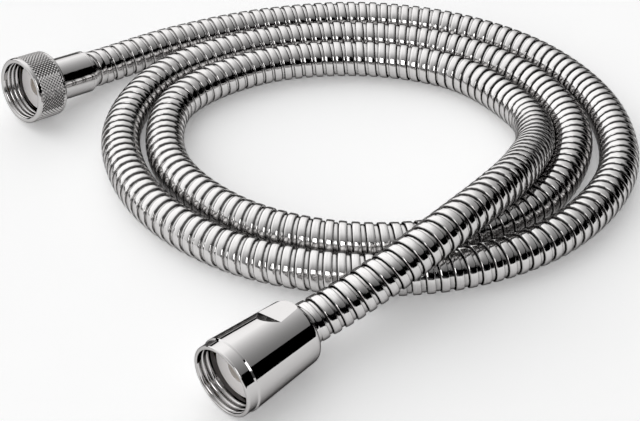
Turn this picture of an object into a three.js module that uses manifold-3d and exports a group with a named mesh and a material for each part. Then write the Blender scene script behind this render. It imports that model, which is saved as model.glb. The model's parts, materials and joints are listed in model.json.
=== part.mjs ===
// A metal shower hose lying in loose flat loops, with a union nut at each end.
// Millimetres, +Z up. The hose lies on z = 0, and the origin is under the middle of its outline.
import * as THREE from 'three';
import { mergeVertices } from 'three/addons/utils/BufferGeometryUtils.js';
import Module from 'manifold-3d';

const wasm = await Module();
wasm.setup();

// Driving dimensions of the hose
const hoseDiameter = 14;
const armourWall = 0.8;
const tubeRoom = 0.4;
const tubeWall = 1.3;
const hoseSides = 12;
const tubeSides = 8;
const hoseSteps = 80;

// Driving dimensions of the fittings that both ends share
const fitGap = 0.3;
const threadCrestDiameter = 18.63;
const threadDepth = 1.163;
const mouthChamfer = 0.5;
const washerThickness = 2;
const washerHoleDiameter = 7.5;
const flangeThickness = 1.2;
const neckDiameter = 11;
const spigotLength = 15;
const spigotWall = 1;
const barbLead = 1;
const barbHeight = 0.25;
const barbCount = 4;
const ferruleWall = 0.7;
const ferruleLip = 1.4;
const crimpLength = 17.1;
const roundSides = 48;

// Driving dimensions of the valve end, with the knurled nut
const knurledWall = 1.9;
const knurledThreadReach = 7.3;
const knurledBackWall = 1.3;
const knurledEdgeWidth = 1.2;
const knurledEdgeDrop = 0.2;
const knurledRearRounding = 0.5;

// Driving dimensions of the handset end, with the conical nut
const conicalThreadReach = 6.2;
const collarWall = 1.2;
const collarLength = 3.6;
const coneStep = 0.45;
const coneStepBevel = 0.45;
const coneRearWall = 2.3;
const coneRearLength = 21.1;
const coneRearRounding = 2.2;
const flatAcross = 20;
const flatLength = 9.5;
const flatTurn = -14;
const handsetFerruleShow = 1;

// Where each hose end leaves its ferrule, seen from above, which way the fitting points from there,
// and how far its mouth is tipped up
const valveEnd = { x: -87.8, y: 62.2, heading: -133.4, tilt: 10 };
const handsetEnd = { x: -2.7, y: -81.5, heading: -134.5, tilt: 1.5 };
const valveLead = 8;
const handsetLead = 3;

// The hose's route from the valve end to the handset end: x, y, and how far the hose is lifted off
// the surface. It lies in two and a half turns side by side, then climbs over two of its own strands.
const route = [
  [-55.2, 85.5, 0.2], [-19.2, 100, 0], [20.3, 105, 0], [58.8, 96, 0], [89.8, 74, 0], [108.3, 39.5, 0],
  [107.3, 1.5, 0], [84, -31.3, 0], [47.3, -49.7, 0], [7.8, -51.6, 0], [-28.2, -40, 0],
  [-57.2, -13, 0], [-69.2, 25, 0], [-57.2, 61, 0], [-26.2, 82.3, 0], [12.3, 89.8, 0], [52.3, 82.3, 0],
  [82.8, 59, 0], [94.8, 24.5, 0], [81.3, -11, 0], [48.1, -33.2, 0], [9.3, -36.4, 0],
  [-26.2, -22.5, 0], [-50.2, 7, 0], [-50.2, 43.5, 0], [-20.7, 68.5, 0], [21.3, 74.6, 0],
  [57.3, 63, 0.2], [79, 33.5, 1.4], [79.3, 12.5, 4.8], [73.5, -5, 10], [66.3, -20.3, 14.2],
  [55.6, -35, 16], [42.3, -49.3, 15.7], [27.5, -61.8, 12.3], [12.3, -71.6, 7.4],
];

// Sizes that follow from those above
const hoseRadius = hoseDiameter / 2;
const armourBore = hoseRadius - armourWall;
const innerSide = (radius, sides) => radius * Math.cos(Math.PI / sides);
const tubeRadius = innerSide(armourBore, hoseSides) - tubeRoom;
const waterwayRadius = tubeRadius - tubeWall;
const spigotRadius = innerSide(waterwayRadius, tubeSides) - fitGap;
const ferruleBore = hoseRadius + fitGap;
const ferruleRadius = ferruleBore + ferruleWall;
const nutRearBore = ferruleRadius + fitGap;
const threadCrest = threadCrestDiameter / 2;
const threadRoot = threadCrest + threadDepth;
const flangeRadius = threadCrest - fitGap;

// Depths behind a nut's mouth, for a nut whose thread reaches this far before the washer. The ferrule
// starts right behind the flange, or further back where its end has to show behind a longer nut.
function depthsFor(threadReach, rearLength, ferruleShow) {
  const flange = threadReach + washerThickness + fitGap;
  const shoulder = flange + flangeThickness + fitGap;
  const rear = shoulder + rearLength;
  const ferruleLength = ferruleLip + fitGap + crimpLength;
  const ferruleFront = Math.max(shoulder, rear + ferruleShow - ferruleLength);
  const ferruleEnd = ferruleFront + ferruleLength;
  const hoseStart = ferruleFront + ferruleLip + fitGap;
  return { washer: threadReach, flange, shoulder, rear, ferruleFront, ferruleEnd, hoseStart };
}

const valveDepth = depthsFor(knurledThreadReach, knurledBackWall, 0);
const handsetDepth = depthsFor(conicalThreadReach, coneRearLength, handsetFerruleShow);

// A rounded edge about a centre at this radius and depth, as [radius, depth] points
function roundedEdge(radius, depth, rounding, from, to, steps = 5) {
  return Array.from({ length: steps + 1 }, (_, i) => {
    const angle = from + ((to - from) * i) / steps;
    return [radius + rounding * Math.cos(angle), depth + rounding * Math.sin(angle)];
  });
}

// A turned piece: its outline goes down the outside and back up the bore, as [radius, depth] points.
// The depth runs along +Z, from the nut's mouth towards the hose.
function turned(outline, sides = roundSides) {
  const profile = [...outline, outline[0]].map(([radius, depth]) => new THREE.Vector2(radius, depth));
  return new THREE.LatheGeometry(profile, sides).rotateX(Math.PI / 2);
}

// The inside of a nut, from its rear to its mouth: rear bore, shoulder, thread crests, mouth chamfer
const nutInside = (depth) => [
  [nutRearBore, depth.rear], [nutRearBore, depth.shoulder], [threadCrest, depth.shoulder],
  [threadCrest, threadDepth + mouthChamfer], [threadRoot, mouthChamfer], [threadRoot, 0],
];

// The knurled nut's outside: a slight taper at the mouth, the knurl's band, and a rounded rear edge
const knurledRadius = threadRoot + knurledWall;
const knurledOutside = [
  [knurledRadius - knurledEdgeDrop, 0],
  [knurledRadius, knurledEdgeWidth],
  ...roundedEdge(knurledRadius - knurledRearRounding, valveDepth.rear - knurledRearRounding,
    knurledRearRounding, 0, Math.PI / 2, 3),
];

const collarRadius = threadRoot + collarWall;
const coneFrontRadius = collarRadius + coneStep;
const coneRearRadius = nutRearBore + coneRearWall;
const conicalOutside = [
  [collarRadius - mouthChamfer / 2, 0],
  [collarRadius, mouthChamfer],
  [collarRadius, collarLength],
  [coneFrontRadius - coneStepBevel / 2, collarLength],
  [coneFrontRadius, collarLength + coneStepBevel],
  ...roundedEdge(coneRearRadius - coneRearRounding, handsetDepth.rear - coneRearRounding,
    coneRearRounding, 0, Math.PI / 2),
];

// Joined and cut shapes go through a solid with shared corners
function toSolid(geometry) {
  const bare = geometry.clone();
  bare.deleteAttribute('normal');
  bare.deleteAttribute('uv');
  const welded = mergeVertices(bare, 1e-4);
  return new wasm.Manifold(new wasm.Mesh({
    numProp: 3,
    vertProperties: new Float32Array(welded.attributes.position.array),
    triVerts: new Uint32Array(welded.index.array),
  }));
}

function toGeometry(solid) {
  const mesh = solid.getMesh();
  const geometry = new THREE.BufferGeometry();
  geometry.setAttribute('position', new THREE.BufferAttribute(mesh.vertProperties, 3));
  geometry.setIndex(new THREE.BufferAttribute(mesh.triVerts, 1));
  geometry.computeVertexNormals();
  return geometry;
}

// The conical nut with its two spanner flats at the rear
function conicalNut() {
  const cone = toSolid(turned([...conicalOutside, ...nutInside(handsetDepth)]));
  const slabHeight = coneFrontRadius;
  const slabLength = flatLength + coneFrontRadius;
  const slabs = [0, 180].map((side) => {
    const slab = new THREE.BoxGeometry(4 * coneFrontRadius, slabHeight, slabLength);
    slab.translate(0, (flatAcross + slabHeight) / 2, handsetDepth.rear - flatLength + slabLength / 2);
    return toSolid(slab.rotateZ(THREE.MathUtils.degToRad(flatTurn + side)));
  });
  return toGeometry(slabs.reduce((nut, slab) => nut.subtract(slab), cone));
}

// A flanged hose tail: flange, neck through the ferrule's lip, and a barbed spigot in the inner tube
function hoseTail(depth) {
  const neckRadius = neckDiameter / 2;
  const flangeBack = depth.flange + flangeThickness;
  const neckEnd = depth.hoseStart - fitGap;
  const spigotEnd = neckEnd + spigotLength;
  const barbPitch = (spigotLength - barbLead) / barbCount;
  const bore = spigotRadius - spigotWall;
  const barbs = Array.from({ length: barbCount }, (_, i) => {
    const start = neckEnd + barbLead + i * barbPitch;
    return [[spigotRadius - barbHeight, start], [spigotRadius, start + barbPitch * 0.15],
      [spigotRadius - barbHeight, start + barbPitch * 0.85]];
  }).flat();
  return turned([
    [flangeRadius, depth.flange], [flangeRadius, flangeBack], [neckRadius, flangeBack],
    [neckRadius, neckEnd], [spigotRadius - barbHeight, neckEnd], ...barbs,
    [spigotRadius - barbHeight, spigotEnd], [bore, spigotEnd], [bore, depth.flange],
  ], roundSides / 2);
}

// A crimped sleeve over the end of the armour, with a lip in front and a rolled rear edge
function ferrule(depth) {
  const front = depth.ferruleFront;
  const lipRadius = neckDiameter / 2 + fitGap;
  const roll = ferruleWall / 2;
  return turned([
    [ferruleRadius - ferruleWall, front], [ferruleRadius, front + ferruleWall],
    ...roundedEdge(ferruleBore + roll, depth.ferruleEnd - roll, roll, 0, Math.PI, 4),
    [ferruleBore, front + ferruleLip], [lipRadius, front + ferruleLip], [lipRadius, front],
  ]);
}

function washer(depth) {
  const edge = 0.25;
  return turned([
    [flangeRadius - edge, depth.washer], [flangeRadius, depth.washer + edge],
    [flangeRadius, depth.washer + washerThickness - edge],
    [flangeRadius - edge, depth.washer + washerThickness],
    [washerHoleDiameter / 2, depth.washer + washerThickness], [washerHoleDiameter / 2, depth.washer],
  ]);
}

// Height of a nut's mouth centre when its lowest edge just rests on the surface
function restingHeight(outline, tilt) {
  return Math.max(...outline.map(([radius, depth]) => radius * Math.cos(tilt) + depth * Math.sin(tilt)));
}

// Where a fitting's axis runs: the way into the hose, the mouth's centre, and points on the axis
function axisOf(end, outline, depth) {
  const heading = THREE.MathUtils.degToRad(end.heading);
  const tilt = THREE.MathUtils.degToRad(end.tilt);
  const inward = new THREE.Vector3(
    -Math.cos(tilt) * Math.cos(heading), -Math.cos(tilt) * Math.sin(heading), -Math.sin(tilt));
  const mouth = new THREE.Vector3(
    end.x - inward.x * depth.ferruleEnd, end.y - inward.y * depth.ferruleEnd, restingHeight(outline, tilt));
  return { inward, mouth, at: (distance) => mouth.clone().addScaledVector(inward, distance) };
}

const valveAxis = axisOf(valveEnd, knurledOutside, valveDepth);
const handsetAxis = axisOf(handsetEnd, conicalOutside, handsetDepth);

// The hose's centre line: straight in each ferrule and a little beyond, smooth in between. Its first and
// last steps are the lengths in the ferrules, and the others divide what is between them evenly.
class HoseLine extends THREE.Curve {
  constructor() {
    super();
    const valveEdge = valveAxis.at(valveDepth.ferruleEnd);
    const valveLeadEnd = valveAxis.at(valveDepth.ferruleEnd + valveLead);
    const handsetLeadEnd = handsetAxis.at(handsetDepth.ferruleEnd + handsetLead);
    const handsetEdge = handsetAxis.at(handsetDepth.ferruleEnd);
    const free = route.map(([x, y, lift]) => new THREE.Vector3(x, y, hoseRadius + lift));
    this.valveCrimp = new THREE.LineCurve3(valveAxis.at(valveDepth.hoseStart), valveEdge);
    this.between = new THREE.CurvePath();
    this.between.add(new THREE.LineCurve3(valveEdge, valveLeadEnd));
    this.between.add(new THREE.CatmullRomCurve3([valveLeadEnd, ...free, handsetLeadEnd]));
    this.between.add(new THREE.LineCurve3(handsetLeadEnd, handsetEdge));
    this.handsetCrimp = new THREE.LineCurve3(handsetEdge, handsetAxis.at(handsetDepth.hoseStart));
  }

  getPoint(t, target = new THREE.Vector3()) {
    const step = t * hoseSteps;
    const lastStep = hoseSteps - 1;
    if (step < 1) return this.valveCrimp.getPoint(step, target);
    if (step > lastStep) return this.handsetCrimp.getPoint(step - lastStep, target);
    return target.copy(this.between.getPoint((step - 1) / (lastStep - 1)));
  }

  // The steps stay where getPoint puts them
  getUtoTmapping(u) {
    return u;
  }
}

// A round tube along the hose's centre line
function tubeAlong(line, radius, bore, sides) {
  const ring = (size) => Array.from({ length: sides }, (_, i) => {
    const angle = (2 * Math.PI * i) / sides;
    return new THREE.Vector2(size * Math.cos(angle), size * Math.sin(angle));
  });
  const section = new THREE.Shape(ring(radius));
  section.holes.push(new THREE.Path(ring(bore).reverse()));
  return new THREE.ExtrudeGeometry(section, { steps: hoseSteps, bevelEnabled: false, extrudePath: line });
}

function finish(color, roughness, metalness) {
  return new THREE.MeshStandardMaterial({ color, roughness, metalness });
}

const chrome = () => finish(0xd8d8da, 0.08, 1);
const brass = () => finish(0xc9a65a, 0.35, 1);
const whiteRubber = () => finish(0xdedad8, 0.6, 0);
const darkRubber = () => finish(0x2a2a2c, 0.7, 0);

function piece(name, geometry, material) {
  const mesh = new THREE.Mesh(geometry, material);
  mesh.name = name;
  return mesh;
}

// Everything that is coaxial at one end, placed with its mouth at the axis' mouth point
function fitting(axis, pieces) {
  const end = new THREE.Group();
  const side = new THREE.Vector3(0, 0, 1).cross(axis.inward).normalize();
  const up = axis.inward.clone().cross(side);
  end.setRotationFromMatrix(new THREE.Matrix4().makeBasis(side, up, axis.inward));
  end.position.copy(axis.mouth);
  end.add(...pieces);
  return end;
}

const hose = new THREE.Group();
const line = new HoseLine();

hose.add(
  piece('hose_armour', tubeAlong(line, hoseRadius, armourBore, hoseSides), chrome()),
  piece('inner_tube', tubeAlong(line, tubeRadius, waterwayRadius, tubeSides), darkRubber()),
  fitting(valveAxis, [
    piece('knurled_nut',
      turned([...knurledOutside, ...nutInside(valveDepth)]), chrome()),
    piece('valve_ferrule', ferrule(valveDepth), chrome()),
    piece('valve_tail', hoseTail(valveDepth), brass()),
    piece('valve_washer', washer(valveDepth), whiteRubber()),
  ]),
  fitting(handsetAxis, [
    piece('conical_nut', conicalNut(), chrome()),
    piece('handset_ferrule', ferrule(handsetDepth), chrome()),
    piece('handset_tail', hoseTail(handsetDepth), brass()),
    piece('handset_washer', washer(handsetDepth), whiteRubber()),
  ]),
);

export default hose;
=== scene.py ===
# The looks of a chromed metal shower hose that lies in loose flat loops: wound armour, a knurled
# and a conical union nut, crimped ferrules and sealing washers. Metres, +Z up, in the part's frame.
import json
import math

import bmesh
import bpy
import numpy as np
from mathutils import Matrix, Vector


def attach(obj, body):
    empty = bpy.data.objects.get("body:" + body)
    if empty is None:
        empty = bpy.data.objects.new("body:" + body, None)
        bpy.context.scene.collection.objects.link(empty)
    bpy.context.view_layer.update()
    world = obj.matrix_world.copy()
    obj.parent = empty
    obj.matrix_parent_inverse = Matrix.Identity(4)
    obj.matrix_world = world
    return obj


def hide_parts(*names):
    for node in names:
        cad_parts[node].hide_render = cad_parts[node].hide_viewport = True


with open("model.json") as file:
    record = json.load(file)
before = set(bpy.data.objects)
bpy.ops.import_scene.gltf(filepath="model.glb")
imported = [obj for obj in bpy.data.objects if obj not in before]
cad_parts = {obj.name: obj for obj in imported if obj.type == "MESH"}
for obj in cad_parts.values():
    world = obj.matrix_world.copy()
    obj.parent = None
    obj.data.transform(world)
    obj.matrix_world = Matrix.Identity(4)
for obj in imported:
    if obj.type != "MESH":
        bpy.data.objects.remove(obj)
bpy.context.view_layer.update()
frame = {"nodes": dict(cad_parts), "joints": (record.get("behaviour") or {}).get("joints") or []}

MM = 0.001

# Sizes of the hose
HOSE_RADIUS = 7 * MM
WINDING_PITCH = 4.02 * MM
PITCH_CHANGE = 0.095
ARMOUR_SIDES = 21
ARMOUR_SHARP = math.radians(60)

# One turn of the armour in section, in mm: place along the hose, how far below the outside, and
# how much painted shade darkens it, strongest in the slot and the recess where shade falls. A
# wide flat band with rolled edges, a slot beside it, and a narrow band that lies lower.
STRIP_SECTION = [
    (-1.5, 0.8, 0.3), (-1.5, 0.4, 0.2), (-1.42, 0.17, 0.05), (-1.18, 0.04, 0.0), (-0.6, 0.0, 0.0),
    (0.5, 0.0, 0.0), (1.02, 0.05, 0.0), (1.25, 0.19, 0.15), (1.3, 0.45, 0.7), (1.3, 1.25, 1.0),
    (1.46, 1.25, 1.0), (1.5, 0.84, 0.6), (1.65, 0.7, 0.1), (2.15, 0.7, 0.1),
]

# Sizes that both fittings share
ROUND_SIDES = 160
EDGE_BREAK = 0.12 * MM
FIT_GAP = 0.3 * MM
NECK_RADIUS = 5.5 * MM
FLANGE_THICKNESS = 1.2 * MM

# Inside threads. A ridge's shape is in shares of the pitch (foot, top) and the depth (height, sink)
THREAD_CREST = 9.315 * MM
THREAD_ROOT = 10.478 * MM
THREAD_PITCH = 1.814 * MM
THREAD_START = 0.9 * MM
THREAD_STEPS = 96
RIDGE_FOOT = 0.86
RIDGE_TOP = 0.14
RIDGE_HEIGHT = 1.1
RIDGE_SINK = 0.45

# Washers
WASHER_THICKNESS = 2 * MM
WASHER_HOLE = 3.75 * MM
WASHER_RADIUS = THREAD_CREST - FIT_GAP
WASHER_HOLE_ROUNDING = 0.15 * MM
WASHER_EDGE_ROUNDING = 0.25 * MM

# Ferrules
FERRULE_WALL = 0.7 * MM
FERRULE_LIP = 1.4 * MM
FERRULE_BORE = HOSE_RADIUS + FIT_GAP
FERRULE_RADIUS = FERRULE_BORE + FERRULE_WALL
FERRULE_FRONT_ROUNDING = 0.4 * MM
FERRULE_END_ROUNDING = 0.22 * MM
FERRULE_BEAD = 1.1 * MM
FERRULE_GROOVE = 0.3 * MM
FERRULE_GROOVE_DEPTH = 0.12 * MM
FERRULE_GROOVE_ROUNDING = 0.05 * MM
CRIMP_LENGTH = 17.1 * MM
NUT_REAR_BORE = FERRULE_RADIUS + FIT_GAP

# Sizes of the knurled nut
KNURLED_REACH = 7.3 * MM
KNURLED_BACK = 1.3 * MM
KNURLED_RADIUS = THREAD_ROOT + 1.9 * MM
KNURLED_BORE_ROUNDING = 0.45 * MM
KNURLED_MOUTH_ROUNDING = 0.7 * MM
KNURLED_EDGE = 1.2 * MM
KNURLED_EDGE_DROP = 0.2 * MM
KNURLED_REAR_ROUNDING = 0.5 * MM
KNURLED_REAR_RIM = 0.9 * MM
KNURLED_REAR_DROP = 0.1 * MM
KNURL_HEIGHT = 0.27 * MM
KNURL_SLOPE = 0.12 * MM
KNURL_SLOPE_ROUNDING = 0.08 * MM
KNURL_COLUMNS = 56
KNURL_ROWS = 14
KNURL_TOP_SHARE = 0.42

# Sizes of the conical nut
CONICAL_REACH = 6.2 * MM
COLLAR_RADIUS = THREAD_ROOT + 1.2 * MM
COLLAR_LENGTH = 3.6 * MM
COLLAR_BORE_ROUNDING = 0.3 * MM
COLLAR_MOUTH_ROUNDING = 0.55 * MM
CONE_FRONT_RADIUS = COLLAR_RADIUS + 0.45 * MM
CONE_STEP_BEVEL = 0.45 * MM
CONE_STEP_ROUNDING = 0.15 * MM
CONE_REAR_RADIUS = NUT_REAR_BORE + 2.3 * MM
CONE_REAR_LENGTH = 21.1 * MM
CONE_REAR_ROUNDING = 2.2 * MM
FLAT_ACROSS = 20 * MM
FLAT_LENGTH = 9.5 * MM
FLAT_TURN = math.radians(-14)
FLAT_RAMP = math.radians(19)
FLAT_SHARP = math.radians(14)
CUTTER_REACH = 5 * MM
CUTTER_SIDE = 15 * MM
HANDSET_FERRULE_SHOW = 1 * MM

# The hose's lead straight out of each ferrule, and its route between them in mm: x, y, and its lift
VALVE_LEAD = 8 * MM
HANDSET_LEAD = 3 * MM
LEAD_STEPS = 30
ROUTE = [
    (-55.2, 85.5, 0.2), (-19.2, 100, 0), (20.3, 105, 0), (58.8, 96, 0), (89.8, 74, 0),
    (108.3, 39.5, 0), (107.3, 1.5, 0), (84, -31.3, 0), (47.3, -49.7, 0), (7.8, -51.6, 0),
    (-28.2, -40, 0), (-57.2, -13, 0), (-69.2, 25, 0), (-57.2, 61, 0), (-26.2, 82.3, 0),
    (12.3, 89.8, 0), (52.3, 82.3, 0), (82.8, 59, 0), (94.8, 24.5, 0), (81.3, -11, 0),
    (48.1, -33.2, 0), (9.3, -36.4, 0), (-26.2, -22.5, 0), (-50.2, 7, 0), (-50.2, 43.5, 0),
    (-20.7, 68.5, 0), (21.3, 74.6, 0), (57.3, 63, 0.2), (79, 33.5, 1.4), (79.3, 12.5, 4.8),
    (73.5, -5, 10), (66.3, -20.3, 14.2), (55.6, -35, 16), (42.3, -49.3, 15.7), (27.5, -61.8, 12.3),
    (12.3, -71.6, 7.4),
]

# The camera that took the photograph, fitted to the traced edges of the hose and nuts
CAMERA_PLACE = (0.00305, -0.36015, 0.28289)
CAMERA_PITCH = math.radians(39.07)
CAMERA_LENS = 72.98
SENSOR_WIDTH = 36.0


def depths(reach, rear_length, ferrule_show):
    """How far behind a nut's mouth each thing lies, for a nut whose thread reaches this far."""
    flange = reach + WASHER_THICKNESS + FIT_GAP
    shoulder = flange + FLANGE_THICKNESS + FIT_GAP
    rear = shoulder + rear_length
    ferrule_length = FERRULE_LIP + FIT_GAP + CRIMP_LENGTH
    ferrule_front = max(shoulder, rear + ferrule_show - ferrule_length)
    return {
        "washer": reach,
        "shoulder": shoulder,
        "rear": rear,
        "ferrule_front": ferrule_front,
        "hose_start": ferrule_front + FERRULE_LIP + FIT_GAP,
        "ferrule_end": ferrule_front + ferrule_length,
    }


def fitting_frame(joint_name):
    """Where a nut's own axes lie: x to the side, y up, z from the mouth's centre into the hose."""
    joint = next(j for j in frame["joints"] if j["name"] == joint_name)
    inward = -Vector(joint["axis"]).normalized()
    side = Vector((0, 0, 1)).cross(inward).normalized()
    up = inward.cross(side)
    turn = Matrix((side, up, inward)).transposed().to_4x4()
    return Matrix.Translation(joint["pos_m"]) @ turn


VALVE_DEPTHS = depths(KNURLED_REACH, KNURLED_BACK, 0)
HANDSET_DEPTHS = depths(CONICAL_REACH, CONE_REAR_LENGTH, HANDSET_FERRULE_SHOW)
VALVE_FRAME = fitting_frame("knurled_nut_swivel")
HANDSET_FRAME = fitting_frame("conical_nut_swivel")


def make_camera():
    data = bpy.data.cameras.new("camera")
    data.lens = CAMERA_LENS
    data.sensor_width = SENSOR_WIDTH
    data.clip_start = 0.01
    camera = bpy.data.objects.new("camera", data)
    camera.location = CAMERA_PLACE
    camera.rotation_euler = (math.pi / 2 - CAMERA_PITCH, 0, 0)
    bpy.context.scene.collection.objects.link(camera)
    bpy.context.scene.camera = camera


def mesh_object(name, vertices, faces, material=None, sharp_angle=math.radians(32)):
    """A smooth-shaded mesh whose edges stay sharp past this angle, its object at the origin."""
    mesh = bpy.data.meshes.new(name)
    mesh.from_pydata([tuple(v) for v in vertices], [], faces)
    mesh.validate()
    mesh.shade_smooth()
    mesh.set_sharp_from_angle(angle=sharp_angle)
    if material:
        mesh.materials.append(material)
    made = bpy.data.objects.new(name, mesh)
    bpy.context.scene.collection.objects.link(made)
    return made


# The hose's centre line


def smooth_line(points, per_span=40):
    """Points along a centripetal Catmull-Rom curve through these points."""
    ends = [2 * points[0] - points[1], *points, 2 * points[-1] - points[-2]]
    t = np.linspace(0, 1, per_span, endpoint=False)[:, None]
    line = []
    for p0, p1, p2, p3 in zip(ends, ends[1:], ends[2:], ends[3:]):
        d0, d1, d2 = (math.sqrt(np.linalg.norm(b - a)) for a, b in ((p0, p1), (p1, p2), (p2, p3)))
        start = ((p1 - p0) / d0 - (p2 - p0) / (d0 + d1) + (p2 - p1) / d1) * d1
        end = ((p2 - p1) / d1 - (p3 - p1) / (d1 + d2) + (p3 - p2) / d2) * d1
        line.append(
            (2 * t**3 - 3 * t**2 + 1) * p1 + (t**3 - 2 * t**2 + t) * start
            + (3 * t**2 - 2 * t**3) * p2 + (t**3 - t**2) * end
        )
    return np.vstack([*line, points[-1][None]])


def hose_line():
    """The centre line from inside the valve ferrule to inside the handset ferrule."""
    def on_axis(place, depth):
        return np.array(place @ Vector((0, 0, depth)))

    free = [np.array((x * MM, y * MM, HOSE_RADIUS + lift * MM)) for x, y, lift in ROUTE]
    valve_lead = on_axis(VALVE_FRAME, VALVE_DEPTHS["ferrule_end"] + VALVE_LEAD)
    handset_lead = on_axis(HANDSET_FRAME, HANDSET_DEPTHS["ferrule_end"] + HANDSET_LEAD)
    between = smooth_line([valve_lead, *free, handset_lead])
    first = on_axis(VALVE_FRAME, VALVE_DEPTHS["hose_start"])
    last = on_axis(HANDSET_FRAME, HANDSET_DEPTHS["hose_start"])
    lead_in = np.linspace(first, valve_lead, LEAD_STEPS, endpoint=False)
    lead_out = np.linspace(handset_lead, last, LEAD_STEPS)[1:]
    return np.vstack([lead_in, between, lead_out])


class Line:
    """A centre line measured by length, with frames that turn as little as they can."""

    def __init__(self, points):
        steps = np.linalg.norm(np.diff(points, axis=0), axis=1)
        self.at = np.concatenate([[0], np.cumsum(steps)])
        self.length = self.at[-1]
        self.points = points
        tangents = np.gradient(points, self.at, axis=0)
        self.tangents = tangents / np.linalg.norm(tangents, axis=1)[:, None]
        normal = np.cross((0, 0, 1), self.tangents[0])
        normals = []
        for tangent in self.tangents:
            normal = normal - tangent * (normal @ tangent)
            normal = normal / np.linalg.norm(normal)
            normals.append(normal)
        self.normals = np.array(normals)

    def frames(self, lengths):
        """Point, tangent, normal and binormal at each of these lengths."""
        def read(values):
            return np.stack([np.interp(lengths, self.at, values[:, i]) for i in range(3)], axis=1)

        tangents = read(self.tangents)
        tangents /= np.linalg.norm(tangents, axis=1)[:, None]
        normals = read(self.normals)
        normals -= tangents * (normals * tangents).sum(axis=1)[:, None]
        normals /= np.linalg.norm(normals, axis=1)[:, None]
        return read(self.points), tangents, normals, np.cross(tangents, normals)


# Materials

# How bright chrome stays at a grazing view, against plain metal
CHROME_EDGE = (0.06, 0.06, 0.06, 1)


def new_material(name):
    material = bpy.data.materials.new(name)
    material.use_nodes = True
    tree = material.node_tree
    return material, tree, tree.nodes["Principled BSDF"]


def node(tree, kind, inputs=(), **settings):
    """A node with settings, and inputs by name or place: a value, or an output to link from."""
    made = tree.nodes.new(kind)
    for name, value in settings.items():
        setattr(made, name, value)
    for name, value in dict(inputs).items():
        socket = made.inputs[name]
        if isinstance(value, bpy.types.NodeSocket):
            tree.links.new(value, socket)
        else:
            socket.default_value = value
    return made


def plated_surface():
    """Node group: plated metal with a faint ripple, hazy patches and a slightly uneven tone."""
    group = bpy.data.node_groups.new("plated_surface", "ShaderNodeTree")
    for name, kind in (
        ("Vector", "NodeSocketVector"), ("Tone", "NodeSocketColor"), ("Shade", "NodeSocketColor"),
        ("Polish", "NodeSocketFloat"), ("Haze", "NodeSocketFloat"),
        ("Ripple Scale", "NodeSocketFloat"), ("Ripple", "NodeSocketFloat"),
    ):
        group.interface.new_socket(name, in_out="INPUT", socket_type=kind)
    for name, kind in (
        ("Color", "NodeSocketColor"), ("Roughness", "NodeSocketFloat"),
        ("Normal", "NodeSocketVector"),
    ):
        group.interface.new_socket(name, in_out="OUTPUT", socket_type=kind)
    given = group.nodes.new("NodeGroupInput").outputs
    patches = node(group, "ShaderNodeTexNoise", {
        "Vector": given["Vector"], "Scale": 90.0, "Detail": 4.0, "Roughness": 0.6,
    })
    haze = node(group, "ShaderNodeMapRange", {
        "Value": patches.outputs["Fac"], "From Min": 0.35, "From Max": 0.75,
        "To Min": given["Polish"], "To Max": given["Haze"],
    })
    tone = node(group, "ShaderNodeMix", {
        "Factor": patches.outputs["Fac"], "A": given["Tone"], "B": given["Shade"],
    }, data_type="RGBA")
    ripple = node(group, "ShaderNodeTexNoise", {
        "Vector": given["Vector"], "Scale": given["Ripple Scale"], "Detail": 2.0,
    })
    bump = node(group, "ShaderNodeBump", {
        "Height": ripple.outputs["Fac"], "Strength": given["Ripple"], "Distance": 0.0001,
    })
    node(group, "NodeGroupOutput", {
        "Color": tone.outputs["Result"], "Roughness": haze.outputs["Result"],
        "Normal": bump.outputs["Normal"],
    })
    return group


def plated_material(name, group, tone, shade, polish, haze, ripple_scale, ripple):
    material, tree, shader = new_material(name)
    place = node(tree, "ShaderNodeTexCoord").outputs["Object"]
    effect = tree.nodes.new("ShaderNodeGroup")
    effect.node_tree = group
    tree.links.new(place, effect.inputs["Vector"])
    for socket, value in (
        ("Tone", tone), ("Shade", shade), ("Polish", polish), ("Haze", haze),
        ("Ripple Scale", ripple_scale), ("Ripple", ripple),
    ):
        effect.inputs[socket].default_value = value
    shader.inputs["Metallic"].default_value = 1.0
    shader.inputs["Specular Tint"].default_value = CHROME_EDGE
    tree.links.new(effect.outputs["Color"], shader.inputs["Base Color"])
    tree.links.new(effect.outputs["Roughness"], shader.inputs["Roughness"])
    tree.links.new(effect.outputs["Normal"], shader.inputs["Normal"])
    return material


def armour_material(name, tone, shade, painted_shade_colour):
    """Rolled and plated strip: fine lines along it, a slightly uneven tone, and painted shade that
    darkens its slot and recess.
    """
    material, tree, shader = new_material(name)
    strip = node(tree, "ShaderNodeUVMap", uv_map="strip")
    along = node(tree, "ShaderNodeMapping", {"Vector": strip.outputs[0], "Scale": (0.12, 1.7, 1.0)})
    lines = node(tree, "ShaderNodeTexNoise", {
        "Vector": along.outputs[0], "Scale": 1.6, "Detail": 3.0, "Roughness": 0.65,
    })
    tint = node(tree, "ShaderNodeMix", {
        "Factor": lines.outputs["Fac"], "A": tone, "B": shade,
    }, data_type="RGBA")
    # Painted shade: the mesh's darkening of the slot and recess mixes the strip's tone towards
    # near-black.
    painted_shade = node(tree, "ShaderNodeAttribute", attribute_name="painted_shade").outputs["Fac"]
    colour = node(tree, "ShaderNodeMix", {
        "Factor": painted_shade, "A": tint.outputs["Result"], "B": painted_shade_colour,
    }, data_type="RGBA")
    gloss = node(tree, "ShaderNodeMapRange", {
        "Value": lines.outputs["Fac"], "From Min": 0.3, "From Max": 0.7,
        "To Min": 0.05, "To Max": 0.13,
    })
    bump = node(tree, "ShaderNodeBump", {
        "Height": lines.outputs["Fac"], "Strength": 1.0, "Distance": 0.000024,
    })
    shader.inputs["Metallic"].default_value = 1.0
    shader.inputs["Specular Tint"].default_value = CHROME_EDGE
    tree.links.new(colour.outputs["Result"], shader.inputs["Base Color"])
    tree.links.new(gloss.outputs["Result"], shader.inputs["Roughness"])
    tree.links.new(bump.outputs["Normal"], shader.inputs["Normal"])
    return material


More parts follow.
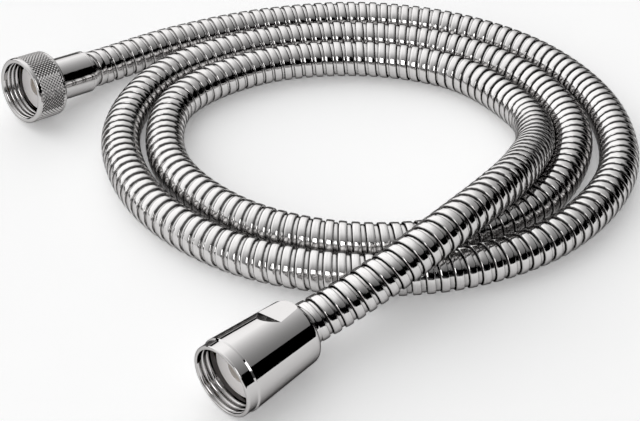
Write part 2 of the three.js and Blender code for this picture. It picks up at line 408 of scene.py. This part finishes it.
def rubber_material(name, tone, shade, roughness):
    material, tree, shader = new_material(name)
    place = node(tree, "ShaderNodeTexCoord").outputs["Object"]
    grain = node(tree, "ShaderNodeTexNoise", {"Vector": place, "Scale": 900.0, "Detail": 3.0})
    colour = node(tree, "ShaderNodeMix", {
        "Factor": grain.outputs["Fac"], "A": tone, "B": shade,
    }, data_type="RGBA")
    bump = node(tree, "ShaderNodeBump", {
        "Height": grain.outputs["Fac"], "Strength": 0.25, "Distance": 0.00005,
    })
    shader.inputs["Roughness"].default_value = roughness
    tree.links.new(colour.outputs["Result"], shader.inputs["Base Color"])
    tree.links.new(bump.outputs["Normal"], shader.inputs["Normal"])
    return material


# Turned pieces


def rounded_outline(corners, steps=4, guard=0.04 * MM):
    """A closed outline of (radius, depth, rounding) corners. A rounding is an arc with a point just
    outside each of its ends, which keeps the shading of the walls beside it flat."""
    outline = []
    count = len(corners)
    for i, (radius, depth, rounding) in enumerate(corners):
        here = np.array((radius, depth))
        if not rounding:
            outline.append(here)
            continue
        before = np.array(corners[i - 1][:2]) - here
        after = np.array(corners[(i + 1) % count][:2]) - here
        before = before / np.linalg.norm(before)
        after = after / np.linalg.norm(after)
        half = math.acos(np.clip(before @ after, -1, 1)) / 2
        cut = rounding / math.tan(half)
        inward = (before + after) / np.linalg.norm(before + after)
        centre = here + inward * rounding / math.sin(half)
        outline.append(here + before * (cut + guard))
        first, last = here + before * cut - centre, here + after * cut - centre
        swept = math.pi - 2 * half
        for t in np.linspace(0, 1, steps + 1):
            arm = (first * math.sin((1 - t) * swept) + last * math.sin(t * swept)) / math.sin(swept)
            outline.append(centre + arm)
        outline.append(here + after * (cut + guard))
    return outline


def turned_mesh(outline, sides=ROUND_SIDES):
    """Vertices and faces of a closed outline of (radius, depth) turned about the z axis."""
    angles = np.linspace(0, 2 * math.pi, sides, endpoint=False)
    vertices = [
        (radius * math.cos(a), radius * math.sin(a), depth)
        for a in angles for radius, depth in outline
    ]
    count = len(outline)
    faces = []
    for i in range(sides):
        here, there = i * count, (i + 1) % sides * count
        for j in range(count):
            k = (j + 1) % count
            faces.append((here + j, here + k, there + k, there + j))
    return vertices, faces


def face_outwards(mesh):
    edit = bmesh.new()
    edit.from_mesh(mesh)
    bmesh.ops.recalc_face_normals(edit, faces=edit.faces)
    edit.to_mesh(mesh)
    edit.free()


def turned(name, outline, place, material, sides=ROUND_SIDES):
    made = mesh_object(name, *turned_mesh(outline, sides), material)
    face_outwards(made.data)
    made.data.transform(place)
    return made


# Geometry Nodes for what repeats on the nuts


def geometry_tree(name, sockets):
    """A Geometry Nodes tree with a Geometry input and output and these named inputs."""
    tree = bpy.data.node_groups.new(name, "GeometryNodeTree")
    tree.interface.new_socket("Geometry", in_out="INPUT", socket_type="NodeSocketGeometry")
    for socket, kind in sockets:
        tree.interface.new_socket(socket, in_out="INPUT", socket_type=kind)
    tree.interface.new_socket("Geometry", in_out="OUTPUT", socket_type="NodeSocketGeometry")
    return tree, tree.nodes.new("NodeGroupInput").outputs


def calculate(tree, operation, *values):
    return node(tree, "ShaderNodeMath", dict(enumerate(values)), operation=operation).outputs[0]


def add_to_piece(tree, piece, addition, material):
    """Ends a tree: the piece with the addition's instances made real, all in one material."""
    joined = node(tree, "GeometryNodeJoinGeometry")
    tree.links.new(piece, joined.inputs[0])
    tree.links.new(addition, joined.inputs[0])
    real = node(tree, "GeometryNodeRealizeInstances", {0: joined.outputs[0]})
    finished = node(tree, "GeometryNodeSetMaterial", {0: real.outputs[0], "Material": material})
    node(tree, "NodeGroupOutput", {0: finished.outputs[0]})


def thread_tree():
    """An inside thread: one ridge along a helix on the bore, tapering out at its two ends."""
    tree, given = geometry_tree("inside_thread", [
        ("Root Radius", "NodeSocketFloat"), ("Depth", "NodeSocketFloat"),
        ("Pitch", "NodeSocketFloat"), ("Start", "NodeSocketFloat"),
        ("Turns", "NodeSocketFloat"), ("Material", "NodeSocketMaterial"),
    ])
    height = calculate(tree, "MULTIPLY", given["Pitch"], given["Turns"])
    helix = node(tree, "GeometryNodeCurveSpiral", {
        "Resolution": THREAD_STEPS, "Rotations": given["Turns"], "Height": height,
        "Start Radius": given["Root Radius"], "End Radius": given["Root Radius"],
    })
    upright = node(tree, "GeometryNodeSetCurveNormal", {0: helix.outputs[0]}, mode="Z_UP")
    share = node(tree, "GeometryNodeSplineParameter").outputs["Factor"]
    from_end = calculate(tree, "MINIMUM", share, calculate(tree, "SUBTRACT", 1.0, share))
    taper = node(tree, "ShaderNodeMapRange", {
        "Value": from_end, "From Min": 0.0, "From Max": 0.08, "To Min": 0.05, "To Max": 1.0,
    })
    tapered = node(tree, "GeometryNodeSetCurveRadius", {
        0: upright.outputs[0], "Radius": taper.outputs["Result"],
    })
    ridge = node(tree, "GeometryNodeCurvePrimitiveQuadrilateral", {
        "Bottom Width": calculate(tree, "MULTIPLY", given["Pitch"], RIDGE_FOOT),
        "Top Width": calculate(tree, "MULTIPLY", given["Pitch"], RIDGE_TOP),
        "Height": calculate(tree, "MULTIPLY", given["Depth"], RIDGE_HEIGHT), "Offset": 0.0,
    }, mode="TRAPEZOID")
    sunk = node(tree, "ShaderNodeCombineXYZ", {
        "Y": calculate(tree, "MULTIPLY", given["Depth"], RIDGE_SINK),
    })
    seated = node(tree, "GeometryNodeTransform", {
        "Geometry": ridge.outputs[0], "Translation": sunk.outputs[0],
    })
    turned_in = node(tree, "GeometryNodeTransform", {
        "Geometry": seated.outputs[0], "Rotation": (0.0, 0.0, math.pi / 2),
    })
    swept = node(tree, "GeometryNodeCurveToMesh", {
        0: tapered.outputs[0], 1: turned_in.outputs[0], "Fill Caps": True,
    })
    lift = node(tree, "ShaderNodeCombineXYZ", {"Z": given["Start"]})
    placed = node(tree, "GeometryNodeTransform", {
        "Geometry": swept.outputs[0], "Translation": lift.outputs[0],
    })
    add_to_piece(tree, given["Geometry"], placed.outputs[0], given["Material"])
    return tree


def knurl_tree():
    """A diamond knurl: rows of small blunt pyramids, every other row turned by half of one."""
    tree, given = geometry_tree("diamond_knurl", [
        ("Radius", "NodeSocketFloat"), ("Start", "NodeSocketFloat"), ("Width", "NodeSocketFloat"),
        ("Height", "NodeSocketFloat"), ("Columns", "NodeSocketInt"), ("Rows", "NodeSocketInt"),
        ("Material", "NodeSocketMaterial"),
    ])
    count = calculate(tree, "MULTIPLY", given["Columns"], given["Rows"])
    index = node(tree, "GeometryNodeInputIndex").outputs[0]
    row = calculate(tree, "FLOOR", calculate(tree, "DIVIDE", index, given["Columns"]))
    column = calculate(tree, "SUBTRACT", index, calculate(tree, "MULTIPLY", row, given["Columns"]))
    shift = calculate(tree, "MULTIPLY", calculate(tree, "MODULO", row, 2.0), 0.5)
    share = calculate(tree, "DIVIDE", calculate(tree, "ADD", column, shift), given["Columns"])
    angle = calculate(tree, "MULTIPLY", share, 2 * math.pi)
    spacing = calculate(tree, "DIVIDE", given["Width"], calculate(tree, "ADD", given["Rows"], 1.0))
    rows_in = calculate(tree, "ADD", row, 1.0)
    depth = calculate(tree, "MULTIPLY_ADD", rows_in, spacing, given["Start"])
    outward = node(tree, "ShaderNodeCombineXYZ", {
        "X": calculate(tree, "COSINE", angle), "Y": calculate(tree, "SINE", angle),
    }).outputs[0]
    on_wall = node(tree, "ShaderNodeVectorMath", {
        0: outward, "Scale": given["Radius"],
    }, operation="SCALE")
    along = node(tree, "ShaderNodeCombineXYZ", {"Z": depth})
    place = node(tree, "ShaderNodeVectorMath", {0: on_wall.outputs[0], 1: along.outputs[0]})
    points = node(tree, "GeometryNodePoints", {"Count": count, "Position": place.outputs[0]})
    facing = node(tree, "FunctionNodeAxesToRotation", {
        "Primary Axis": outward, "Secondary Axis": (0.0, 0.0, 1.0),
    }, primary_axis="Z", secondary_axis="Y")
    pyramid = node(tree, "GeometryNodeMeshCone", {
        "Vertices": 4, "Radius Top": KNURL_TOP_SHARE, "Radius Bottom": 1.0, "Depth": 1.0,
    })
    half_round = calculate(tree, "MULTIPLY", given["Radius"], math.pi)
    half_column = calculate(tree, "DIVIDE", half_round, given["Columns"])
    size = node(tree, "ShaderNodeCombineXYZ", {
        "X": half_column, "Y": spacing, "Z": given["Height"],
    })
    pyramids = node(tree, "GeometryNodeInstanceOnPoints", {
        "Points": points.outputs[0], "Instance": pyramid.outputs[0], "Rotation": facing.outputs[0],
        "Scale": size.outputs[0],
    })
    add_to_piece(tree, given["Geometry"], pyramids.outputs[0], given["Material"])
    return tree


def keep_result(piece, modifier):
    """Makes the modifier's result the piece's own plain mesh."""
    evaluated = piece.evaluated_get(bpy.context.evaluated_depsgraph_get())
    plain = bpy.data.meshes.new_from_object(evaluated)
    piece.modifiers.remove(modifier)
    piece.data = plain


def with_nodes(piece, tree, **values):
    """Runs this tree with these inputs on the piece and keeps the result as its mesh."""
    modifier = piece.modifiers.new(tree.name, "NODES")
    modifier.node_group = tree
    by_name = {s.name: s.identifier for s in tree.interface.items_tree if s.in_out == "INPUT"}
    for name, value in values.items():
        modifier[by_name[name.replace("_", " ").title()]] = value
    keep_result(piece, modifier)


# The pieces


def winding_lengths(line):
    """Where along the hose each step of the winding lies. The turns sit wider apart where the hose
    runs along X and closer where it runs along Y, as they do in the photo."""
    lengths = [WINDING_PITCH]
    while lengths[-1] < line.length - 2 * WINDING_PITCH:
        tangent = line.frames(np.array(lengths[-1:]))[1][0]
        along = (tangent[0] ** 2 - tangent[1] ** 2) / (tangent[0] ** 2 + tangent[1] ** 2)
        lengths.append(lengths[-1] + WINDING_PITCH * (1 + PITCH_CHANGE * along) / ARMOUR_SIDES)
    return np.array(lengths)


def make_armour(line, material):
    """The wound strip, and points along its middle. Each turn is a rigid band, so its grooves open
    on the outside of a bend and close on the inside."""
    offsets, drops, painted_shade = np.array(STRIP_SECTION).T
    count = len(offsets)
    lengths = winding_lengths(line)
    steps = len(lengths)
    points, tangents, normals, binormals = line.frames(lengths)
    angles = 2 * math.pi * np.arange(steps) / ARMOUR_SIDES
    outward = normals * np.cos(angles)[:, None] + binormals * np.sin(angles)[:, None]
    along = (offsets * MM)[None, :, None]
    radii = (HOSE_RADIUS - drops * MM)[None, :, None]
    outer = points[:, None] + tangents[:, None] * along + outward[:, None] * radii
    faces = []
    for k in range(steps - 1):
        here, there = k * count, (k + 1) * count
        faces += [(here + j, there + j, there + j + 1, here + j + 1) for j in range(count - 1)]
        if k + ARMOUR_SIDES < steps - 1:
            across = (k + ARMOUR_SIDES) * count
            faces.append((here + count - 1, there + count - 1, across + count, across))
    made = mesh_object("wound_armour", outer.reshape(-1, 3), faces, material, ARMOUR_SHARP)
    mesh = made.data
    # Painted shade: how far each point of the slot and recess is darkened towards near-black.
    shade = mesh.attributes.new("painted_shade", "FLOAT", "POINT")
    shade.data.foreach_set("value", np.tile(painted_shade, steps))
    strip = np.empty((steps * count, 2))
    strip[:, 0] = np.repeat(angles * HOSE_RADIUS / MM, count)
    strip[:, 1] = np.tile(offsets, steps)
    corners = np.empty(len(mesh.loops), dtype=np.int32)
    mesh.loops.foreach_get("vertex_index", corners)
    layer = mesh.uv_layers.new(name="strip")
    layer.data.foreach_set("uv", strip[corners].ravel())
    return made, list(line.frames(np.arange(0, line.length, WINDING_PITCH))[0])


def add_thread(nut, threads, reach, material):
    turns = (reach - THREAD_START) / THREAD_PITCH
    with_nodes(nut, threads, root_radius=THREAD_ROOT, depth=THREAD_ROOT - THREAD_CREST,
               pitch=THREAD_PITCH, start=THREAD_START, turns=turns, material=material)


def make_knurled_nut(material, threads, knurl):
    rear = VALVE_DEPTHS["rear"]
    shoulder = VALVE_DEPTHS["shoulder"]
    rim = rear - KNURLED_REAR_RIM
    root = KNURLED_RADIUS - KNURL_HEIGHT
    outline = rounded_outline([
        (THREAD_ROOT, 0, KNURLED_BORE_ROUNDING),
        (KNURLED_RADIUS - KNURLED_EDGE_DROP, 0, KNURLED_MOUTH_ROUNDING),
        (KNURLED_RADIUS, KNURLED_EDGE, KNURL_SLOPE_ROUNDING),
        (root, KNURLED_EDGE + KNURL_SLOPE, 0),
        (root, rim - KNURL_SLOPE, 0),
        (KNURLED_RADIUS - KNURLED_REAR_DROP, rim, KNURL_SLOPE_ROUNDING),
        (KNURLED_RADIUS - KNURLED_REAR_DROP, rear, KNURLED_REAR_ROUNDING),
        (NUT_REAR_BORE, rear, EDGE_BREAK),
        (NUT_REAR_BORE, shoulder, 0),
        (THREAD_ROOT, shoulder, 0),
    ])
    nut = mesh_object("knurled_union_nut", *turned_mesh(outline), material)
    face_outwards(nut.data)
    with_nodes(nut, knurl, radius=root, start=KNURLED_EDGE, width=rim - KNURLED_EDGE,
               height=KNURL_HEIGHT, columns=KNURL_COLUMNS, rows=KNURL_ROWS, material=material)
    add_thread(nut, threads, KNURLED_REACH, material)
    nut.data.transform(VALVE_FRAME)
    return nut


def cut_flats(nut):
    """Cuts the two spanner flats at the nut's rear, each with a ramp at its front end."""
    front, back = HANDSET_DEPTHS["rear"] - FLAT_LENGTH, HANDSET_DEPTHS["rear"] + CUTTER_REACH
    low, high = FLAT_ACROSS / 2, FLAT_ACROSS / 2 + CUTTER_REACH
    ramp_top = front - (high - low) / math.tan(FLAT_RAMP)
    section = [(low, front), (low, back), (high, back), (high, ramp_top)]
    corners = [(x, y, z) for x in (-CUTTER_SIDE, CUTTER_SIDE) for y, z in section]
    faces = [(0, 1, 2, 3), (7, 6, 5, 4), (0, 4, 5, 1), (1, 5, 6, 2), (2, 6, 7, 3), (3, 7, 4, 0)]
    for turn in (FLAT_TURN, FLAT_TURN + math.pi):
        cutter = mesh_object("flat_cutter", corners, faces)
        cutter.data.transform(Matrix.Rotation(turn, 4, "Z"))
        face_outwards(cutter.data)
        cut = nut.modifiers.new("flat", "BOOLEAN")
        cut.operation = "DIFFERENCE"
        cut.object = cutter
        keep_result(nut, cut)
        bpy.data.objects.remove(cutter)
    nut.data.set_sharp_from_angle(angle=FLAT_SHARP)


def make_conical_nut(material, threads):
    rear = HANDSET_DEPTHS["rear"]
    shoulder = HANDSET_DEPTHS["shoulder"]
    outline = rounded_outline([
        (THREAD_ROOT, 0, COLLAR_BORE_ROUNDING),
        (COLLAR_RADIUS, 0, COLLAR_MOUTH_ROUNDING),
        (COLLAR_RADIUS, COLLAR_LENGTH, 0),
        (CONE_FRONT_RADIUS - CONE_STEP_BEVEL, COLLAR_LENGTH, 0),
        (CONE_FRONT_RADIUS, COLLAR_LENGTH + CONE_STEP_BEVEL, CONE_STEP_ROUNDING),
        (CONE_REAR_RADIUS, rear, CONE_REAR_ROUNDING),
        (NUT_REAR_BORE, rear, EDGE_BREAK),
        (NUT_REAR_BORE, shoulder, 0),
        (THREAD_ROOT, shoulder, 0),
    ], steps=9)
    nut = mesh_object("conical_union_nut", *turned_mesh(outline), material)
    face_outwards(nut.data)
    cut_flats(nut)
    add_thread(nut, threads, CONICAL_REACH, material)
    nut.data.transform(HANDSET_FRAME)
    return nut


def make_ferrule(name, depth, place, material):
    """A crimped sleeve: a lip in front, a smooth barrel, and a fine groove by its rolled end."""
    front, end = depth["ferrule_front"], depth["ferrule_end"]
    bead = end - FERRULE_BEAD
    groove_radius = FERRULE_RADIUS - FERRULE_GROOVE_DEPTH
    outline = rounded_outline([
        (FERRULE_RADIUS, front, FERRULE_FRONT_ROUNDING),
        (FERRULE_RADIUS, bead - FERRULE_GROOVE, FERRULE_GROOVE_ROUNDING),
        (groove_radius, bead - FERRULE_GROOVE / 2, FERRULE_GROOVE_ROUNDING),
        (FERRULE_RADIUS, bead, FERRULE_GROOVE_ROUNDING),
        (FERRULE_RADIUS, end, FERRULE_END_ROUNDING),
        (FERRULE_BORE, end, FERRULE_END_ROUNDING),
        (FERRULE_BORE, front + FERRULE_LIP, 0),
        (NECK_RADIUS + FIT_GAP, front + FERRULE_LIP, 0),
        (NECK_RADIUS + FIT_GAP, front, 0),
    ])
    return turned(name, outline, place, material)


def make_washer(name, depth, place, material):
    front = depth["washer"]
    back = front + WASHER_THICKNESS
    outline = rounded_outline([
        (WASHER_HOLE, front, WASHER_HOLE_ROUNDING),
        (WASHER_RADIUS, front, WASHER_EDGE_ROUNDING),
        (WASHER_RADIUS, back, WASHER_EDGE_ROUNDING),
        (WASHER_HOLE, back, WASHER_HOLE_ROUNDING),
    ])
    return turned(name, outline, place, material, ROUND_SIDES // 2)


# The studio

# What camera and mirror rays see on the floor besides its own shade, and how far the floor reaches
FLOOR_LIFT = 0.2
FLOOR_REACH = 8.0

# The light tent: its glow, what a direction's part to the back, front, right or left does to it,
# and its least value
TENT_GLOW = 1.1
BACK_GAIN = 0.5
FRONT_LOSS = 1.2
RIGHT_FALL = 1.85
LEFT_GAIN = 0.25
LEAST_GLOW = 0.08

# The dark card behind, and the dark opening and the bright gap in front. Heights are a direction's
# part upwards, and places across are its part to the right over its part to the front. The
# opening's sill and lintel change from straight in front to halfway round to the right.
CARD_TOP = 0.15
SILL = (0.24, 0.0)
LINTEL = (0.70, 0.53)
OPENING_TOWARDS = (0.8, -0.6)
GAP_ACROSS = (-0.6, -0.12)
GAP_HEIGHTS = (0.24, 0.66)
GAP_GLOW = 3.4


def make_floor():
    """A white floor. Camera and mirror rays see it a little lighter, and it keeps its shadows."""
    material, tree, shader = new_material("white_floor")
    place = node(tree, "ShaderNodeTexCoord").outputs["Object"]
    grain = node(tree, "ShaderNodeTexNoise", {"Vector": place, "Scale": 30.0, "Detail": 2.0})
    tone = node(tree, "ShaderNodeMix", {
        "Factor": grain.outputs["Fac"], "A": (0.92, 0.92, 0.92, 1), "B": (0.94, 0.94, 0.94, 1),
    }, data_type="RGBA")
    rays = node(tree, "ShaderNodeLightPath").outputs
    seen = calculate(tree, "MAXIMUM", rays["Is Camera Ray"], rays["Is Glossy Ray"])
    seen = calculate(tree, "MAXIMUM", seen, rays["Is Transmission Ray"])
    lift = calculate(tree, "MULTIPLY", seen, FLOOR_LIFT)
    tree.links.new(tone.outputs["Result"], shader.inputs["Base Color"])
    tree.links.new(lift, shader.inputs["Emission Strength"])
    shader.inputs["Emission Color"].default_value = (1, 1, 1, 1)
    shader.inputs["Roughness"].default_value = 0.9
    shader.inputs["Specular IOR Level"].default_value = 0.0
    reach = FLOOR_REACH
    corners = [(-reach, -reach, 0), (reach, -reach, 0), (reach, reach, 0), (-reach, reach, 0)]
    floor = mesh_object("floor", corners, [(0, 1, 2, 3)], material)


def make_light():
    """A white tent over the hose, brightest behind and at the left, with a dark card low behind, a
    dark opening low at the front and right, and a bright gap beside it."""
    world = bpy.data.worlds.new("light_tent")
    bpy.context.scene.world = world
    world.use_nodes = True
    tree = world.node_tree
    direction = node(tree, "ShaderNodeTexCoord").outputs["Generated"]
    parts = node(tree, "ShaderNodeSeparateXYZ", {0: direction}).outputs
    right, back, up = parts["X"], parts["Y"], parts["Z"]

    def calc(operation, *values):
        return calculate(tree, operation, *values)

    def ramp(value, ends):
        return node(tree, "ShaderNodeMapRange", {
            "Value": value, "From Min": 0.0, "From Max": 1.0, "To Min": ends[0], "To Max": ends[1],
        }, interpolation_type="SMOOTHSTEP").outputs["Result"]

    def between(value, low, high):
        return calc("MULTIPLY", calc("GREATER_THAN", value, low), calc("LESS_THAN", value, high))

    # The tent's own glow
    glow = calc("MULTIPLY_ADD", calc("MAXIMUM", back, 0.0), BACK_GAIN, TENT_GLOW)
    glow = calc("MULTIPLY_ADD", calc("MINIMUM", back, 0.0), FRONT_LOSS, glow)
    fade = calc("EXPONENT", calc("MULTIPLY", calc("MAXIMUM", right, 0.0), -RIGHT_FALL))
    side = calc("MULTIPLY_ADD", calc("MINIMUM", right, 0.0), -LEFT_GAIN, fade)
    glow = calc("MAXIMUM", calc("MULTIPLY", glow, side), LEAST_GLOW)

    # The low dark card behind
    in_back = calc("GREATER_THAN", back, 0.0)
    card = calc("MULTIPLY", in_back, calc("LESS_THAN", up, CARD_TOP))

    # The dark opening and the bright gap in front
    in_front = calc("SUBTRACT", 1.0, in_back)
    across = calc("DIVIDE", right, calc("MAXIMUM", calc("MULTIPLY", back, -1.0), 0.001))
    sill = calc("MULTIPLY", in_front, ramp(across, SILL))
    to_right, to_back = OPENING_TOWARDS
    towards = calc("MULTIPLY_ADD", right, to_right, calc("MULTIPLY", back, to_back))
    within = between(up, sill, ramp(across, LINTEL))
    opening = calc("MULTIPLY", calc("GREATER_THAN", towards, 0.0), within)
    gap = calc("MULTIPLY", between(across, *GAP_ACROSS), between(up, *GAP_HEIGHTS))
    gap = calc("MULTIPLY", in_front, gap)
    glow = calc("MULTIPLY", glow, calc("SUBTRACT", 1.0, calc("MAXIMUM", opening, gap)))
    glow = calc("MULTIPLY_ADD", gap, GAP_GLOW, glow)
    glow = calc("MULTIPLY", glow, calc("SUBTRACT", 1.0, card))
    background = tree.nodes["Background"]
    background.inputs["Color"].default_value = (1, 1, 1, 1)
    tree.links.new(glow, background.inputs["Strength"])


make_camera()

plated = plated_surface()
# The armour's third colour is near-black painted shade for its slot and recess.
chrome_armour = armour_material(
    "chrome_armour", (0.76, 0.745, 0.74, 1), (0.54, 0.53, 0.525, 1), (0.035, 0.033, 0.032, 1))
chrome_nuts = plated_material(
    "chrome_nuts", plated, (0.60, 0.588, 0.584, 1), (0.56, 0.548, 0.544, 1),
    polish=0.03, haze=0.07, ripple_scale=160.0, ripple=0.10)
chrome_ferrules = plated_material(
    "chrome_ferrules", plated, (0.68, 0.668, 0.664, 1), (0.62, 0.608, 0.604, 1),
    polish=0.04, haze=0.09, ripple_scale=220.0, ripple=0.3)
brass = plated_material(
    "brass", plated, (0.60, 0.43, 0.18, 1), (0.50, 0.35, 0.14, 1),
    polish=0.22, haze=0.38, ripple_scale=400.0, ripple=0.3)
pale_rubber = rubber_material(
    "pale_rubber", (0.93, 0.90, 0.89, 1), (0.89, 0.86, 0.85, 1), roughness=0.55)
dark_rubber = rubber_material(
    "dark_rubber", (0.02, 0.02, 0.022, 1), (0.03, 0.03, 0.03, 1), roughness=0.7)

line = Line(hose_line())
armour, ring_centres = make_armour(line, chrome_armour)
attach(armour, "hose")
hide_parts("hose_armour")

threads = thread_tree()
knurl = knurl_tree()
knurled = make_knurled_nut(chrome_nuts, threads, knurl)
conical = make_conical_nut(chrome_nuts, threads)
for nut, node_name in ((knurled, "knurled_nut"), (conical, "conical_nut")):
    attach(nut, node_name)
    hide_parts(node_name)

for end, depth, place in (
    ("valve", VALVE_DEPTHS, VALVE_FRAME), ("handset", HANDSET_DEPTHS, HANDSET_FRAME),
):
    ferrule = make_ferrule(end + "_crimped_ferrule", depth, place, chrome_ferrules)
    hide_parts(end + "_ferrule")
    washer = make_washer(end + "_sealing_washer", depth, place, pale_rubber)
    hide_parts(end + "_washer")
    tail = frame["nodes"][end + "_tail"]
    tail.data.materials.clear()
    tail.data.materials.append(brass)
    for piece in (ferrule, washer):
        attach(piece, "hose")

inner_tube = frame["nodes"]["inner_tube"]
inner_tube.data.materials.clear()
inner_tube.data.materials.append(dark_rubber)

make_floor()
make_light()
bpy.context.scene.view_settings.view_transform = "Standard"
